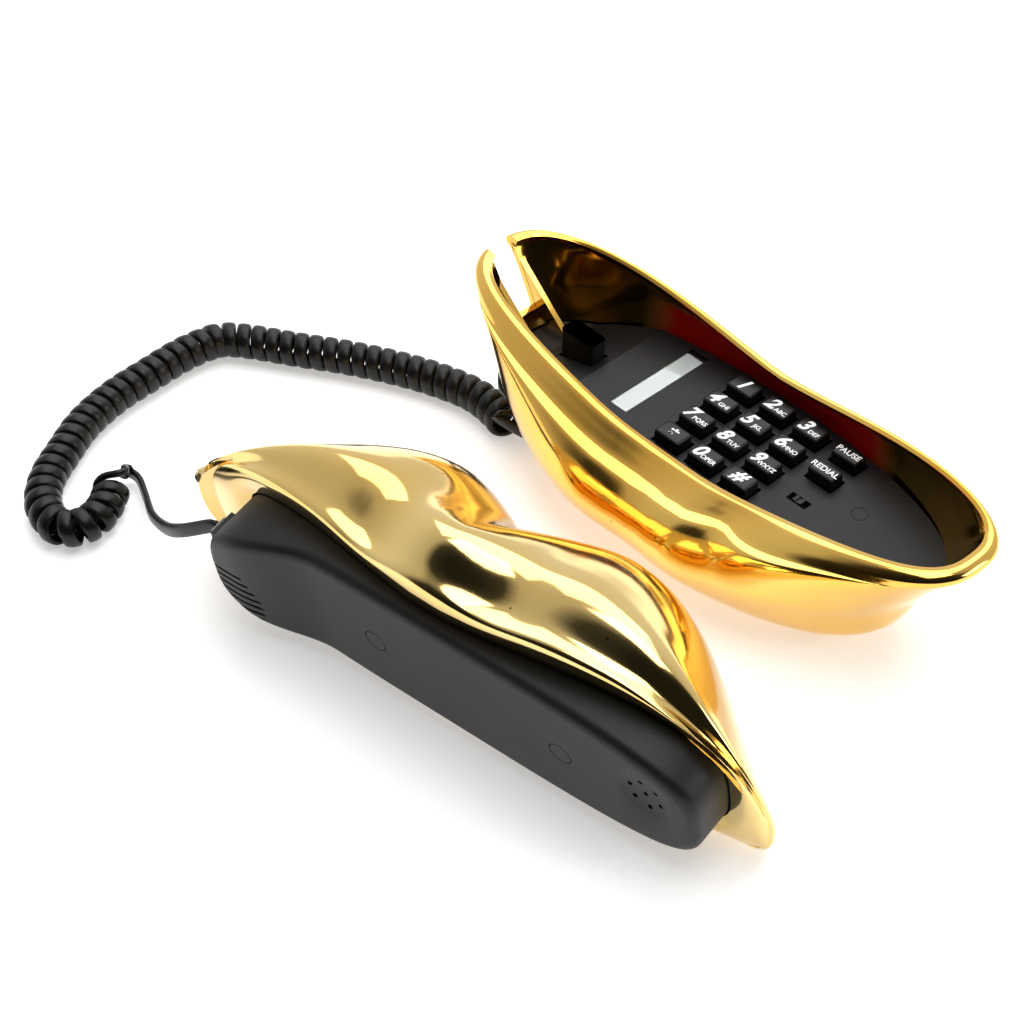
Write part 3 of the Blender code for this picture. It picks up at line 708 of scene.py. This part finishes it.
@dataclass
class Deck:
    """The black deck with its keys, hook button and slider."""

    letters: tuple = (("1", ""), ("2", "ABC"), ("3", "DEF"), ("4", "GHI"), ("5", "JKL"), ("6", "MNO"),
                      ("7", "PQRS"), ("8", "TUV"), ("9", "WXYZ"), ("star", ""), ("0", "OPER"),
                      ("hash", ""))
    words: tuple = (("key_pause", "PAUSE"), ("key_redial", "REDIAL"))
    key_taper: tuple = (0.94, 0.91, 1.0)
    hook_size: tuple[float, float] = (14.0, 7.0)
    hook_x: float = -60.0
    # a point and the outward normal of the hook's slope
    hook_slope: tuple = ((-63.6, 0, 36.0), (4.6, 0, 10.6))
    ring_place: tuple = (0.0489, 0.0063, 0.03)

    def build(self) -> None:
        """Dress the deck, then model what stands on it."""
        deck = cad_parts["keypad_deck"]
        deck.data.materials.clear()
        deck.data.materials.append(made_of(Stuff.DECK))
        signs = {"star": "*", "hash": "#"}
        for name, small in self.letters:
            self.key(f"key_{name}", signs.get(name, name), small)
        for node, word in self.words:
            self.key(node, "", word)
        self.hook()
        self.slider()
        self.mark()

    def key(self, node: str, sign: str, word: str) -> None:
        """One key cap with its printed legend.

        Args:
            node: The CAD node that the cap stands for.
            sign: The large sign, or nothing.
            word: The small letters, or nothing.
        """
        _, high, middle, size = box_of(node)
        cap = add_cube(f"{node}_cap", size, middle)
        select_only(cap)
        bpy.ops.object.mode_set(mode="EDIT")
        bpy.ops.mesh.select_all(action="DESELECT")
        bpy.ops.object.mode_set(mode="OBJECT")
        for face in cap.data.polygons:
            face.select = face.normal.z > 0.9
        bpy.ops.object.mode_set(mode="EDIT")
        bpy.ops.transform.resize(value=self.key_taper, center_override=middle * MM)
        bpy.ops.object.mode_set(mode="OBJECT")
        round_edges(cap, 0.9, 4)
        smooth(cap)
        dress(cap, Stuff.KEY, "key", node, node)
        top = high.z + 0.02
        if sign:
            shift = -1.9 if word else 0.0
            lettering = [self.text(sign, 6.6, (middle.x + shift, middle.y + 0.1, top), 0.22, 0.35)]
            if word:
                lettering.append(self.text(word, 2.3, (middle.x + 2.2, middle.y - 1.4, top), 0.05, 0.0))
        else:
            lettering = [self.text(word, 3.1, (middle.x, middle.y, top), 0.06, 0.0)]
        self.print_on(node, lettering)

    @staticmethod
    def text(words: str, height: float, centre: Sequence[float], weight: float,
             slant: float) -> Piece:
        """Flat lettering centred on a point.

        Args:
            words: What it says.
            height: Font size in millimetres.
            centre: Its middle, in millimetres.
            weight: How much bolder than the plain font, in millimetres.
            slant: Slope of the letters.

        Returns:
            The lettering as a mesh.
        """
        deselect_all()
        bpy.ops.object.text_add(location=(0, 0, 0))
        piece = bpy.context.object
        piece.data.body = words
        piece.data.size = height * MM
        piece.data.shear = slant
        piece.data.offset = weight * MM
        piece.data.extrude = 0.02 * MM
        bpy.ops.object.convert(target="MESH")
        piece = bpy.context.object
        corners = [Vector(corner) for corner in piece.bound_box]
        centre_now = (min(corners, key=sum) + max(corners, key=sum)) / 2
        piece.location = Vector(centre) * MM - Vector((centre_now.x, centre_now.y, 0))
        settle(piece)
        return piece

    @staticmethod
    def print_on(node: str, lettering: list[Piece]) -> None:
        """Join the lettering of a key and dress it.

        Args:
            node: The key.
            lettering: Its pieces of lettering.
        """
        select_only(lettering[0])
        for piece in lettering[1:]:
            piece.select_set(True)
        if len(lettering) > 1:
            bpy.ops.object.join()
        piece = bpy.context.object
        piece.name = f"{node}_legend"
        dress(piece, Stuff.INK, "key", node)

    def hook(self) -> None:
        """The wedge-shaped hook button."""
        low, _, middle, size = box_of("hook_plunger")
        wedge = add_cube("hook_button", (*self.hook_size, size.z), (self.hook_x, middle.y, middle.z))
        slice_off(wedge, *self.hook_slope)
        round_edges(wedge, 1.6, 5)
        flange = add_cube("hook_flange", (size.x, size.y, 2.0), (middle.x, middle.y, low.z + 1.0))
        cut(wedge, flange, "UNION")
        smooth(wedge)
        dress(wedge, Stuff.BLACK, "black", "hook_plunger", "hook_plunger")

    def slider(self) -> None:
        """The tone slider: a block with a grip notch."""
        _, high, middle, size = box_of("tone_pulse_slider")
        block = add_cube("tone_slider", size, middle)
        cut(block, add_cube("notch", (0.9, size.y + 1, 1.0), (middle.x, middle.y, high.z)))
        round_edges(block, 0.2, 2)
        smooth(block)
        dress(block, Stuff.BLACK, "black", "tone_pulse_slider", "tone_pulse_slider")

    def mark(self) -> None:
        """The faint ring on the deck, drawn as an ejector pin's mark."""
        deselect_all()
        bpy.ops.mesh.primitive_torus_add(major_radius=2.6 * MM, minor_radius=0.12 * MM,
                                         major_segments=48, minor_segments=8,
                                         location=self.ring_place)
        ring = bpy.context.object
        ring.name = "ejector_ring"
        settle(ring)
        smooth(ring)
        dress(ring, Stuff.DECK, "black", "base")


# ---------------------------------------------------------------- upper lip

@dataclass
class UpperLip:
    """The handset: a gold cupid's bow closed by a black grip, lying on its back."""

    turn: float = 8.4               # degrees about Z
    roll: float = -80.0             # degrees about its own length
    wall: float = 1.8
    mouth_z: float = 3.5
    peak_x: float = 30.0
    peak_z: float = 64.0
    bow_drop: float = 13.0
    bow_centre_x: float = -3.0
    tips_z: tuple[float, float] = (17.0, 25.0)
    half_length: float = 106.0
    falls: tuple[float, float] = (1.15, 0.75)
    grip_ends: tuple[float, float] = (-77.0, 90.0)
    grip_roundness: float = 3.6
    grip_front: float = 42.0
    grip_back: float = -4.0
    grip_mid: float = 19.0
    tip_sweeps: tuple[float, float] = (14.0, 19.0)
    mouthpiece_drop: float = 6.5
    plugs_x: tuple[float, float] = (-19.0, 46.0)
    plug_seat: float = 3.75
    ear: tuple[float, float] = (74.0, -23.5)
    ear_dish_radius: float = 40.0
    ear_dish_depth: float = 1.0
    ear_hole_radius: float = 0.8
    ear_hole_circle: float = 5.0
    edge_radius: float = 3.4
    edge_top: float = 2.6
    groove_width: float = 1.0
    groove_pitch: float = 3.0
    groove_start: tuple[float, float] = (-64.5, -20.5)
    groove_stagger: float = 1.6
    points: int = 180
    steps: int = 7
    # left end, right end, front, back, share of the height, extra height, front and back
    # roundness, share of the tips' sweep, share of the skin's swells
    rings: tuple = (
        (-77.5, 90.5, 42.5, -4.5, 0.0, 1.2, 3.6, 3.6, 0.0, 0.0),
        (-84.0, 95.5, 49.0, -6.0, 0.0, 0.0, 3.0, 3.4, 0.1, 0.3),
        (-94.0, 99.0, 53.0, -7.8, 0.0, 1.0, 2.5, 3.2, 0.5, 0.5),
        (-100.5, 101.0, 54.5, -9.0, 0.08, 2.0, 2.2, 3.0, 0.9, 0.9),
        (-103.0, 102.0, 58.5, -10.0, 0.33, 0.0, 2.1, 2.6, 1.0, 1.0),
        (-102.5, 101.0, 51.0, -12.0, 0.55, 0.0, 2.1, 2.4, 1.0, 0.7),
        (-100.0, 99.0, 40.0, -13.0, 0.75, 0.0, 2.2, 2.3, 1.0, 0.3),
        (-96.0, 96.0, 27.0, -11.5, 0.90, 0.0, 2.3, 2.3, 1.0, 0.1),
        (-91.0, 91.0, 14.0, -6.5, 0.985, 0.0, 2.3, 2.3, 1.0, 0.0),
        (-86.0, 86.0, 7.0, 0.5, 1.0, 0.0, 2.3, 2.3, 1.0, 0.0),
    )

    def place(self) -> Matrix:
        """The handset's place in the world, found from its first screw plug.

        Returns:
            The matrix from the handset's frame to the world.
        """
        pose = (Matrix.Rotation(math.radians(self.turn), 4, "Z")
                @ Matrix.Rotation(math.radians(self.roll), 4, "X"))
        low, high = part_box("screw_plug_1")
        inside = Vector((self.plugs_x[0], -self.grip_mid, 0.9)) * MM
        return Matrix.Translation((low + high) / 2 - pose @ inside) @ pose

    def bow(self, x: float) -> float:
        """Height of the bow's ridge.

        Args:
            x: Distance along the handset in millimetres.

        Returns:
            The height in millimetres.
        """
        reach = abs(x - self.bow_centre_x)
        if reach < self.peak_x:
            return self.peak_z - self.bow_drop * (1 - reach / self.peak_x) ** 1.5
        share = min((reach - self.peak_x) / (self.half_length - self.peak_x), 1.0)
        fall = max(0.5 + 0.5 * math.cos(math.pi * share), 0.0) ** self.falls[x > 0]
        tip = self.tips_z[x > 0]
        return tip + (self.peak_z - tip) * fall

    def mouth(self, x: float) -> float:
        """Height of the mouth edge above the face."""
        return self.mouth_z + RIM_RISE * corner_rise(x)

    def swell(self, x: float) -> float:
        """How far the upper lip's front skin stands out: a tubercle between two hollows."""
        return 2.5 * hump(x, -3.0, 11.0) - 4.0 * hump(x, -24.0, 11.0) - 3.0 * hump(x, 20.0, 12.0)

    def ring(self, left: float, right: float, front: float, back: float, share: float, extra: float,
             front_round: float, back_round: float, sweep: float, swell: float) -> list[tuple]:
        """One ring of the gold shell, in the handset's own frame.

        Args:
            left: Left end.
            right: Right end.
            front: Front edge, towards -Y.
            back: Back edge, towards -Y.
            share: Share of the height from the mouth edge to the ridge.
            extra: Extra height.
            front_round: Superellipse exponent of the front half.
            back_round: Superellipse exponent of the back half.
            sweep: Share of the tips' bend.
            swell: Share of the skin's swells.

        Returns:
            The ring's points, in millimetres.
        """
        found = []
        for index in range(self.points):
            angle = 2 * math.pi * index / self.points
            at_front = math.sin(angle) < 0
            along, across = superellipse(angle, front_round if at_front else back_round)
            x = (left + right) / 2 + along * (right - left) / 2
            bend = min(max((abs(x) - 55.0) / 50.0, 0.0), 1.0)
            y = (-(front + back) / 2 + across * (front - back) / 2
                 + sweep * self.tip_sweeps[x > 0] * bend * bend)
            if at_front:
                y -= swell * self.swell(x) * abs(across)
            low = self.mouth(x) + extra
            found.append((x, y, low + share * (max(self.bow(x), low + 2.0) - low)))
        return found

    def build(self) -> None:
        """Model the gold shell and the grip."""
        rows = spline_rows(self.rings, self.steps)
        lip = loft("upper_lip", [self.ring(*row) for row in rows], closed_last=True)
        thicken(lip, self.wall)
        lip.data.transform(self.place())
        smooth(lip, 60.0)
        dress(lip, Stuff.GOLD, "gold", "handset", "handset_outer_shell")
        self.grip()

    def grip_ring(self, inset: float, height: float, mouth_share: float) -> list[tuple]:
        """One ring of the grip.

        Args:
            inset: Distance inwards from the grip's outline.
            height: Height above the face.
            mouth_share: Share of the mouth edge's height.

        Returns:
            The ring's points, in millimetres.
        """
        left, right = self.grip_ends
        half_width = (self.grip_front - self.grip_back) / 2 - inset
        found = []
        for index in range(self.points):
            along, across = superellipse(2 * math.pi * index / self.points, self.grip_roundness)
            x = (left + right) / 2 + ((right - left) / 2 - inset) * along
            share = min(max((-x - 38.0) / 30.0, 0.0), 1.0)
            drop = -self.mouthpiece_drop * share * share * (3 - 2 * share) * (1 - mouth_share)
            found.append((x, -self.grip_mid + half_width * across,
                          height + mouth_share * self.mouth(x) + drop))
        return found

    def grip(self) -> None:
        """The black grip with its rounded edge, grooves, ear holes and plug seats."""
        radius = self.edge_radius
        turns = [math.radians(15 * step) for step in range(7)]
        rows = [(radius * (1 - math.sin(turn)), radius * (1 - math.cos(turn)), 0.0) for turn in turns]
        rows += [(0.0, self.edge_top * share + radius * (1 - share), share)
                 for share in (0.33, 0.66, 1.0)]
        grip = loft("grip", [self.grip_ring(*row) for row in rows], closed_first=True)
        thicken(grip, 2.0)
        left = self.grip_ends[0]
        for groove in range(7):
            y = self.groove_start[1] + self.groove_pitch * groove
            end = self.groove_start[0] + self.groove_stagger * min(groove, 4)
            drop = -self.mouthpiece_drop
            for size, place in (((end - left + 3, self.groove_width, 2.6), ((left - 3 + end) / 2, y, drop)),
                                ((2.6, self.groove_width, 12.0), (left, y, drop + 6.0))):
                cut(grip, add_cube("groove", size, place))
        for x in self.plugs_x:
            cut(grip, add_cylinder("seat", self.plug_seat, 8.0, (x, -self.grip_mid, -2.0)))
        ear_x, ear_y = self.ear
        deselect_all()
        bpy.ops.mesh.primitive_uv_sphere_add(segments=64, ring_count=32, radius=self.ear_dish_radius * MM,
                                             location=(ear_x * MM, ear_y * MM,
                                                       (self.ear_dish_depth - self.ear_dish_radius) * MM))
        dish = bpy.context.object
        settle(dish)
        cut(grip, dish)
        places = [(ear_x, ear_y)]
        for step in range(6):
            angle = math.radians(60 * step + 15)
            places.append((ear_x + self.ear_hole_circle * math.cos(angle),
                           ear_y + self.ear_hole_circle * math.sin(angle)))
        for x, y in places:
            cut(grip, add_cylinder("ear_hole", self.ear_hole_radius, 6.0, (x, y, 0), sides=20))
        grip.data.transform(self.place())
        smooth(grip, 40.0)
        dress(grip, Stuff.BLACK, "black", "handset", "handset_grip")


# ---------------------------------------------------------------- cord

@dataclass
class CurlyCord:
    """A flat four-wire cord: a lead from each plug and a tight helix between them."""

    width: float = 4.6
    thickness: float = 2.3
    coil_radius: float = 6.0
    centre_z: float = 6.2
    pitch: float = 5.0
    points_per_turn: int = 24
    section_points: int = 12
    section_roundness: float = 2.6
    twist_reach: int = 16           # points over which the broad side's direction is averaged
    plug_length: float = 11.0
    plug_gap: float = 0.3
    route: tuple = ((-131.5, -133.8), (-127.0, -138.8), (-123.5, -145.0), (-123.4, -151.8),
                    (-128.2, -156.6), (-138.9, -154.5), (-147.9, -146.8), (-154.7, -135.9),
                    (-161.5, -123.2), (-165.6, -108.2), (-166.9, -93.0), (-167.6, -81.1),
                    (-166.9, -72.4), (-164.8, -65.5), (-157.9, -59.3), (-143.5, -50.0),
                    (-129.0, -40.4), (-113.7, -31.9), (-100.4, -26.2), (-87.4, -22.6),
                    (-76.0, -23.0), (-69.5, -24.8))
    handset_lead: tuple = ((-86.0, -139.0, 23.0), (-97.0, -137.5, 15.0), (-110.5, -133.6, 8.0),
                           (-122.5, -128.0, 4.5), (-131.0, -124.5, 3.5), (-135.5, -125.5, 4.5))
    base_lead: tuple = ((-88.0, -3.2, 9.8), (-90.0, -7.0, 7.0), (-86.0, -11.5, 3.4),
                        (-78.0, -12.5, 2.0), (-70.5, -11.5, 1.9), (-65.5, -14.5, 2.0),
                        (-63.5, -20.5, 3.6))

    @staticmethod
    def even(points: Sequence[Vector], spacing: float) -> list[Vector]:
        """Points at an even spacing along a path.

        Args:
            points: The path.
            spacing: About how far apart the new points are.

        Returns:
            The new points.
        """
        total = sum((b - a).length for a, b in zip(points, points[1:]))
        count = max(2, round(total / spacing))
        found, travelled, target = [points[0]], 0.0, total / count
        for a, b in zip(points, points[1:]):
            step = (b - a).length
            while travelled + step >= target and len(found) < count:
                found.append(a.lerp(b, (target - travelled) / step))
                target += total / count
            travelled += step
        found.append(points[-1])
        return found

    def centreline(self, handset: Matrix) -> tuple[list[Vector], list[Vector]]:
        """The cord's centre line and the direction of its broad side.

        Args:
            handset: The handset's place in the world.

        Returns:
            Points in millimetres, and unit vectors along the cord's width.
        """
        spine = self.even([Vector(p) for p in spline_rows([(x, y, self.centre_z)
                                                           for x, y in self.route], 12)], 1.0)
        length = sum((b - a).length for a, b in zip(spine, spine[1:]))
        turns = round(length / self.pitch)
        reach = self.coil_radius - self.thickness / 2 - 0.1
        coil, broad = [], []
        count = turns * self.points_per_turn
        for index in range(count + 1):
            share = index / count * (len(spine) - 1)
            at = min(int(share), len(spine) - 2)
            centre = spine[at].lerp(spine[at + 1], share - at)
            ahead = (spine[min(at + 3, len(spine) - 1)] - spine[max(at - 2, 0)]).normalized()
            side = ahead.cross(Vector((0, 0, 1))).normalized()
            angle = 2 * math.pi * index / self.points_per_turn
            coil.append(centre + reach * (math.cos(angle) * Vector((0, 0, 1)) + math.sin(angle) * side))
            broad.append(ahead)
        lead_in = self.lead(self.plug_face("handset_plug", handset.to_3x3() @ Vector((-1, 0, 0))),
                            handset.to_3x3() @ Vector((-1, 0, 0)), self.handset_lead, coil[0],
                            coil[0] - coil[1])
        lead_out = self.lead(self.plug_face("base_plug", Vector((-1, 0, 0))), Vector((-1, 0, 0)),
                             self.base_lead, coil[-1], coil[-1] - coil[-2])
        up = Vector((0, 0, 1))
        line = lead_in[:-1] + coil + lead_out[-2::-1]
        sides = [up] * (len(lead_in) - 1) + broad + [up] * (len(lead_out) - 1)
        return line, self.eased(sides, self.twist_reach)

    @staticmethod
    def eased(sides: list[Vector], reach: int) -> list[Vector]:
        """Vectors averaged with their neighbours, so that the cord twists slowly.

        Args:
            sides: The vectors.
            reach: How many neighbours on each side count.

        Returns:
            The unit vectors.
        """
        found = []
        for index in range(len(sides)):
            near = sides[max(index - reach, 0):index + reach + 1]
            found.append(sum(near, Vector()).normalized())
        return found

    def plug_face(self, node: str, outward: Vector) -> Vector:
        """Middle of a plug's outer face, with a small gap."""
        return box_of(node)[2] + outward.normalized() * (self.plug_length / 2 + self.plug_gap)

    def lead(self, start: Vector, outward: Vector, route: Sequence, end: Vector,
             into: Vector) -> list[Vector]:
        """A smooth lead from a plug to an end of the coil."""
        knots = [start, start + 3 * outward, *(Vector(p) for p in route), end + 4 * into.normalized(), end]
        return self.even([Vector(p) for p in spline_rows(knots, 10)], 1.5)

    def build(self, handset: Matrix) -> None:
        """Args:
            handset: The handset's place in the world.
        """
        line, broad = self.centreline(handset)
        rings = []
        for index, centre in enumerate(line):
            ahead = (line[min(index + 1, len(line) - 1)] - line[max(index - 1, 0)]).normalized()
            wide = (broad[index] - broad[index].dot(ahead) * ahead).normalized()
            thin = ahead.cross(wide)
            ring = []
            for step in range(self.section_points):
                angle = 2 * math.pi * step / self.section_points
                along, across = superellipse(angle, self.section_roundness)
                ring.append(centre + wide * along * self.width / 2 + thin * across * self.thickness / 2)
            rings.append(ring)
        cord = loft("curly_cord", rings, closed_first=True, closed_last=True)
        cord.data.materials.append(made_of(Stuff.CORD))
        smooth(cord, 60.0)
        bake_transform(cord)
        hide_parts("cord_coil", "cord_lead_base", "cord_lead_handset")


# ---------------------------------------------------------------- small CAD parts

@dataclass
class Works:
    """Parts whose CAD shape is right: sockets, screws, feet, boards and the card."""

    finishes: tuple = (
        (Stuff.BLACK, ("base_bottom_cover", "base_cord_socket", "line_socket", "handset_cord_socket",
                       "screw_plug_1", "screw_plug_2", "hook_switch")),
        (Stuff.STEEL, ("base_screw_1", "base_screw_2", "base_screw_3", "base_screw_4",
                       "handset_screw_1", "handset_screw_2", "hook_spring", "receiver_capsule",
                       "microphone_capsule", "tone_switch_body")),
        (Stuff.RUBBER, ("rubber_foot_1", "rubber_foot_2", "rubber_foot_3", "rubber_foot_4")),
        (Stuff.CLEAR, ("label_window", "base_plug", "handset_plug")),
        (Stuff.CARD, ("label_card",)),
        (Stuff.BOARD, ("main_board",)),
        (Stuff.SILICONE, ("keypad_membrane",)),
        (Stuff.BRASS, ("ringer",)),
    )

    def build(self) -> None:
        """Give every kept CAD part its finish."""
        for stuff, nodes in self.finishes:
            for node in nodes:
                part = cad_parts[node]
                part.data.materials.clear()
                part.data.materials.append(made_of(stuff))
                smooth(part)
                LOG.info("%s is %s", node, stuff.value.name)


# ---------------------------------------------------------------- studio

@dataclass
class Studio:
    """Pale floor, soft boxes and the camera."""

    turn: float = 47.22
    height: float = 43.88
    distance: float = 0.70
    focal_mm: float = 81.2
    aim: tuple[float, float, float] = (-0.0344, -0.0548, 0.0119)
    lit: tuple[float, float, float] = (0.0, -0.06, 0.02)
    # name, place, size in metres and power in watts of each soft box
    boxes: tuple = (("key_box", (-0.55, 0.75, 1.5), 1.8, 22.0), ("top_box", (0.25, -0.1, 1.6), 0.9, 9.0),
                    ("side_box", (1.1, 0.6, 0.6), 0.6, 5.0))

    def camera(self) -> None:
        """The camera looks down on the telephone from the front right."""
        turn, height = math.radians(self.turn), math.radians(self.height)
        back = Vector((math.sin(turn) * math.cos(height), -math.cos(turn) * math.cos(height),
                       math.sin(height)))
        data = bpy.data.cameras.new("camera")
        data.lens = self.focal_mm
        data.sensor_width = 36.0
        camera = bpy.data.objects.new("camera", data)
        camera.location = Vector(self.aim) + self.distance * back
        camera.rotation_euler = (math.pi / 2 - height, 0.0, turn)
        bpy.context.scene.collection.objects.link(camera)
        bpy.context.scene.camera = camera

    def soft_box(self, name: str, place: Sequence[float], size: float, power: float) -> None:
        """A square area light that looks at the telephone.

        Args:
            name: Its name.
            place: Where it is, in metres.
            size: Its side in metres.
            power: Its power in watts.
        """
        data = bpy.data.lights.new(name, "AREA")
        data.size = size
        data.energy = power
        light = bpy.data.objects.new(name, data)
        light.location = place
        light.rotation_euler = (Vector(self.lit) - Vector(place)).to_track_quat("-Z", "Y").to_euler()
        bpy.context.scene.collection.objects.link(light)

    @staticmethod
    def world() -> None:
        """A pale room that is dark on the camera's side, as a studio behind its lights is."""
        world = bpy.data.worlds.new("studio")
        bpy.context.scene.world = world
        world.use_nodes = True
        tree = world.node_tree
        place = add_node(tree, "ShaderNodeTexCoord")
        towards = add_node(tree, "ShaderNodeVectorMath", {1: (0.73, -0.68, 0.10)},
                           {0: place.outputs["Generated"]}, operation="DOT_PRODUCT")
        share = remap(tree, towards.outputs["Value"], 0.0, 1.0, -1.0, 1.0)
        ramp = add_node(tree, "ShaderNodeValToRGB", inputs={"Fac": share})
        stops = ((0.0, 0.95), (0.30, 0.80), (0.56, 0.62), (0.68, 0.05), (0.80, 0.015), (1.0, 0.015))
        ramp.color_ramp.elements[0].position = stops[0][0]
        ramp.color_ramp.elements[1].position = stops[-1][0]
        for position, _ in stops[1:-1]:
            ramp.color_ramp.elements.new(position)
        for element, (_, light) in zip(ramp.color_ramp.elements, stops):
            element.color = (light, light, light, 1.0)
        shade = tree.nodes["Background"]
        shade.inputs["Strength"].default_value = 0.9
        seen = add_node(tree, "ShaderNodeLightPath")
        backdrop = add_node(tree, "ShaderNodeMix", {7: (1.2, 1.2, 1.2, 1.0)},
                            {0: seen.outputs["Is Camera Ray"], 6: ramp.outputs["Color"]},
                            data_type="RGBA")
        tree.links.new(backdrop.outputs[2], shade.inputs["Color"])

    @staticmethod
    def floor() -> None:
        """A wide, pale floor under the telephone."""
        deselect_all()
        bpy.ops.mesh.primitive_plane_add(size=20.0, location=(0, 0, -0.0002))
        floor = bpy.context.object
        floor.name = "floor"
        mat = bpy.data.materials.new("pale_floor")
        mat.use_nodes = True
        shader = mat.node_tree.nodes["Principled BSDF"]
        shader.inputs["Base Color"].default_value = linear("F4F4F4")
        shader.inputs["Roughness"].default_value = 0.85
        shader.inputs["Emission Color"].default_value = linear("FFFFFF")
        shader.inputs["Emission Strength"].default_value = 0.45
        floor.data.materials.append(mat)

    def build(self) -> None:
        """Set up the camera, the light and the floor."""
        self.camera()
        self.world()
        self.floor()
        for box in self.boxes:
            self.soft_box(*box)
        bpy.context.scene.view_settings.view_transform = "Standard"


def main() -> None:
    """Build the telephone and its studio."""
    logging.basicConfig(level=logging.INFO, format="%(name)s: %(message)s")
    builders: list[Callable[[], None]] = [Studio().build, Works().build, LowerLip().build,
                                          Deck().build, UpperLip().build]
    for build in builders:
        build()
    CurlyCord().build(UpperLip().place())


if __name__ == "__main__":
    main()
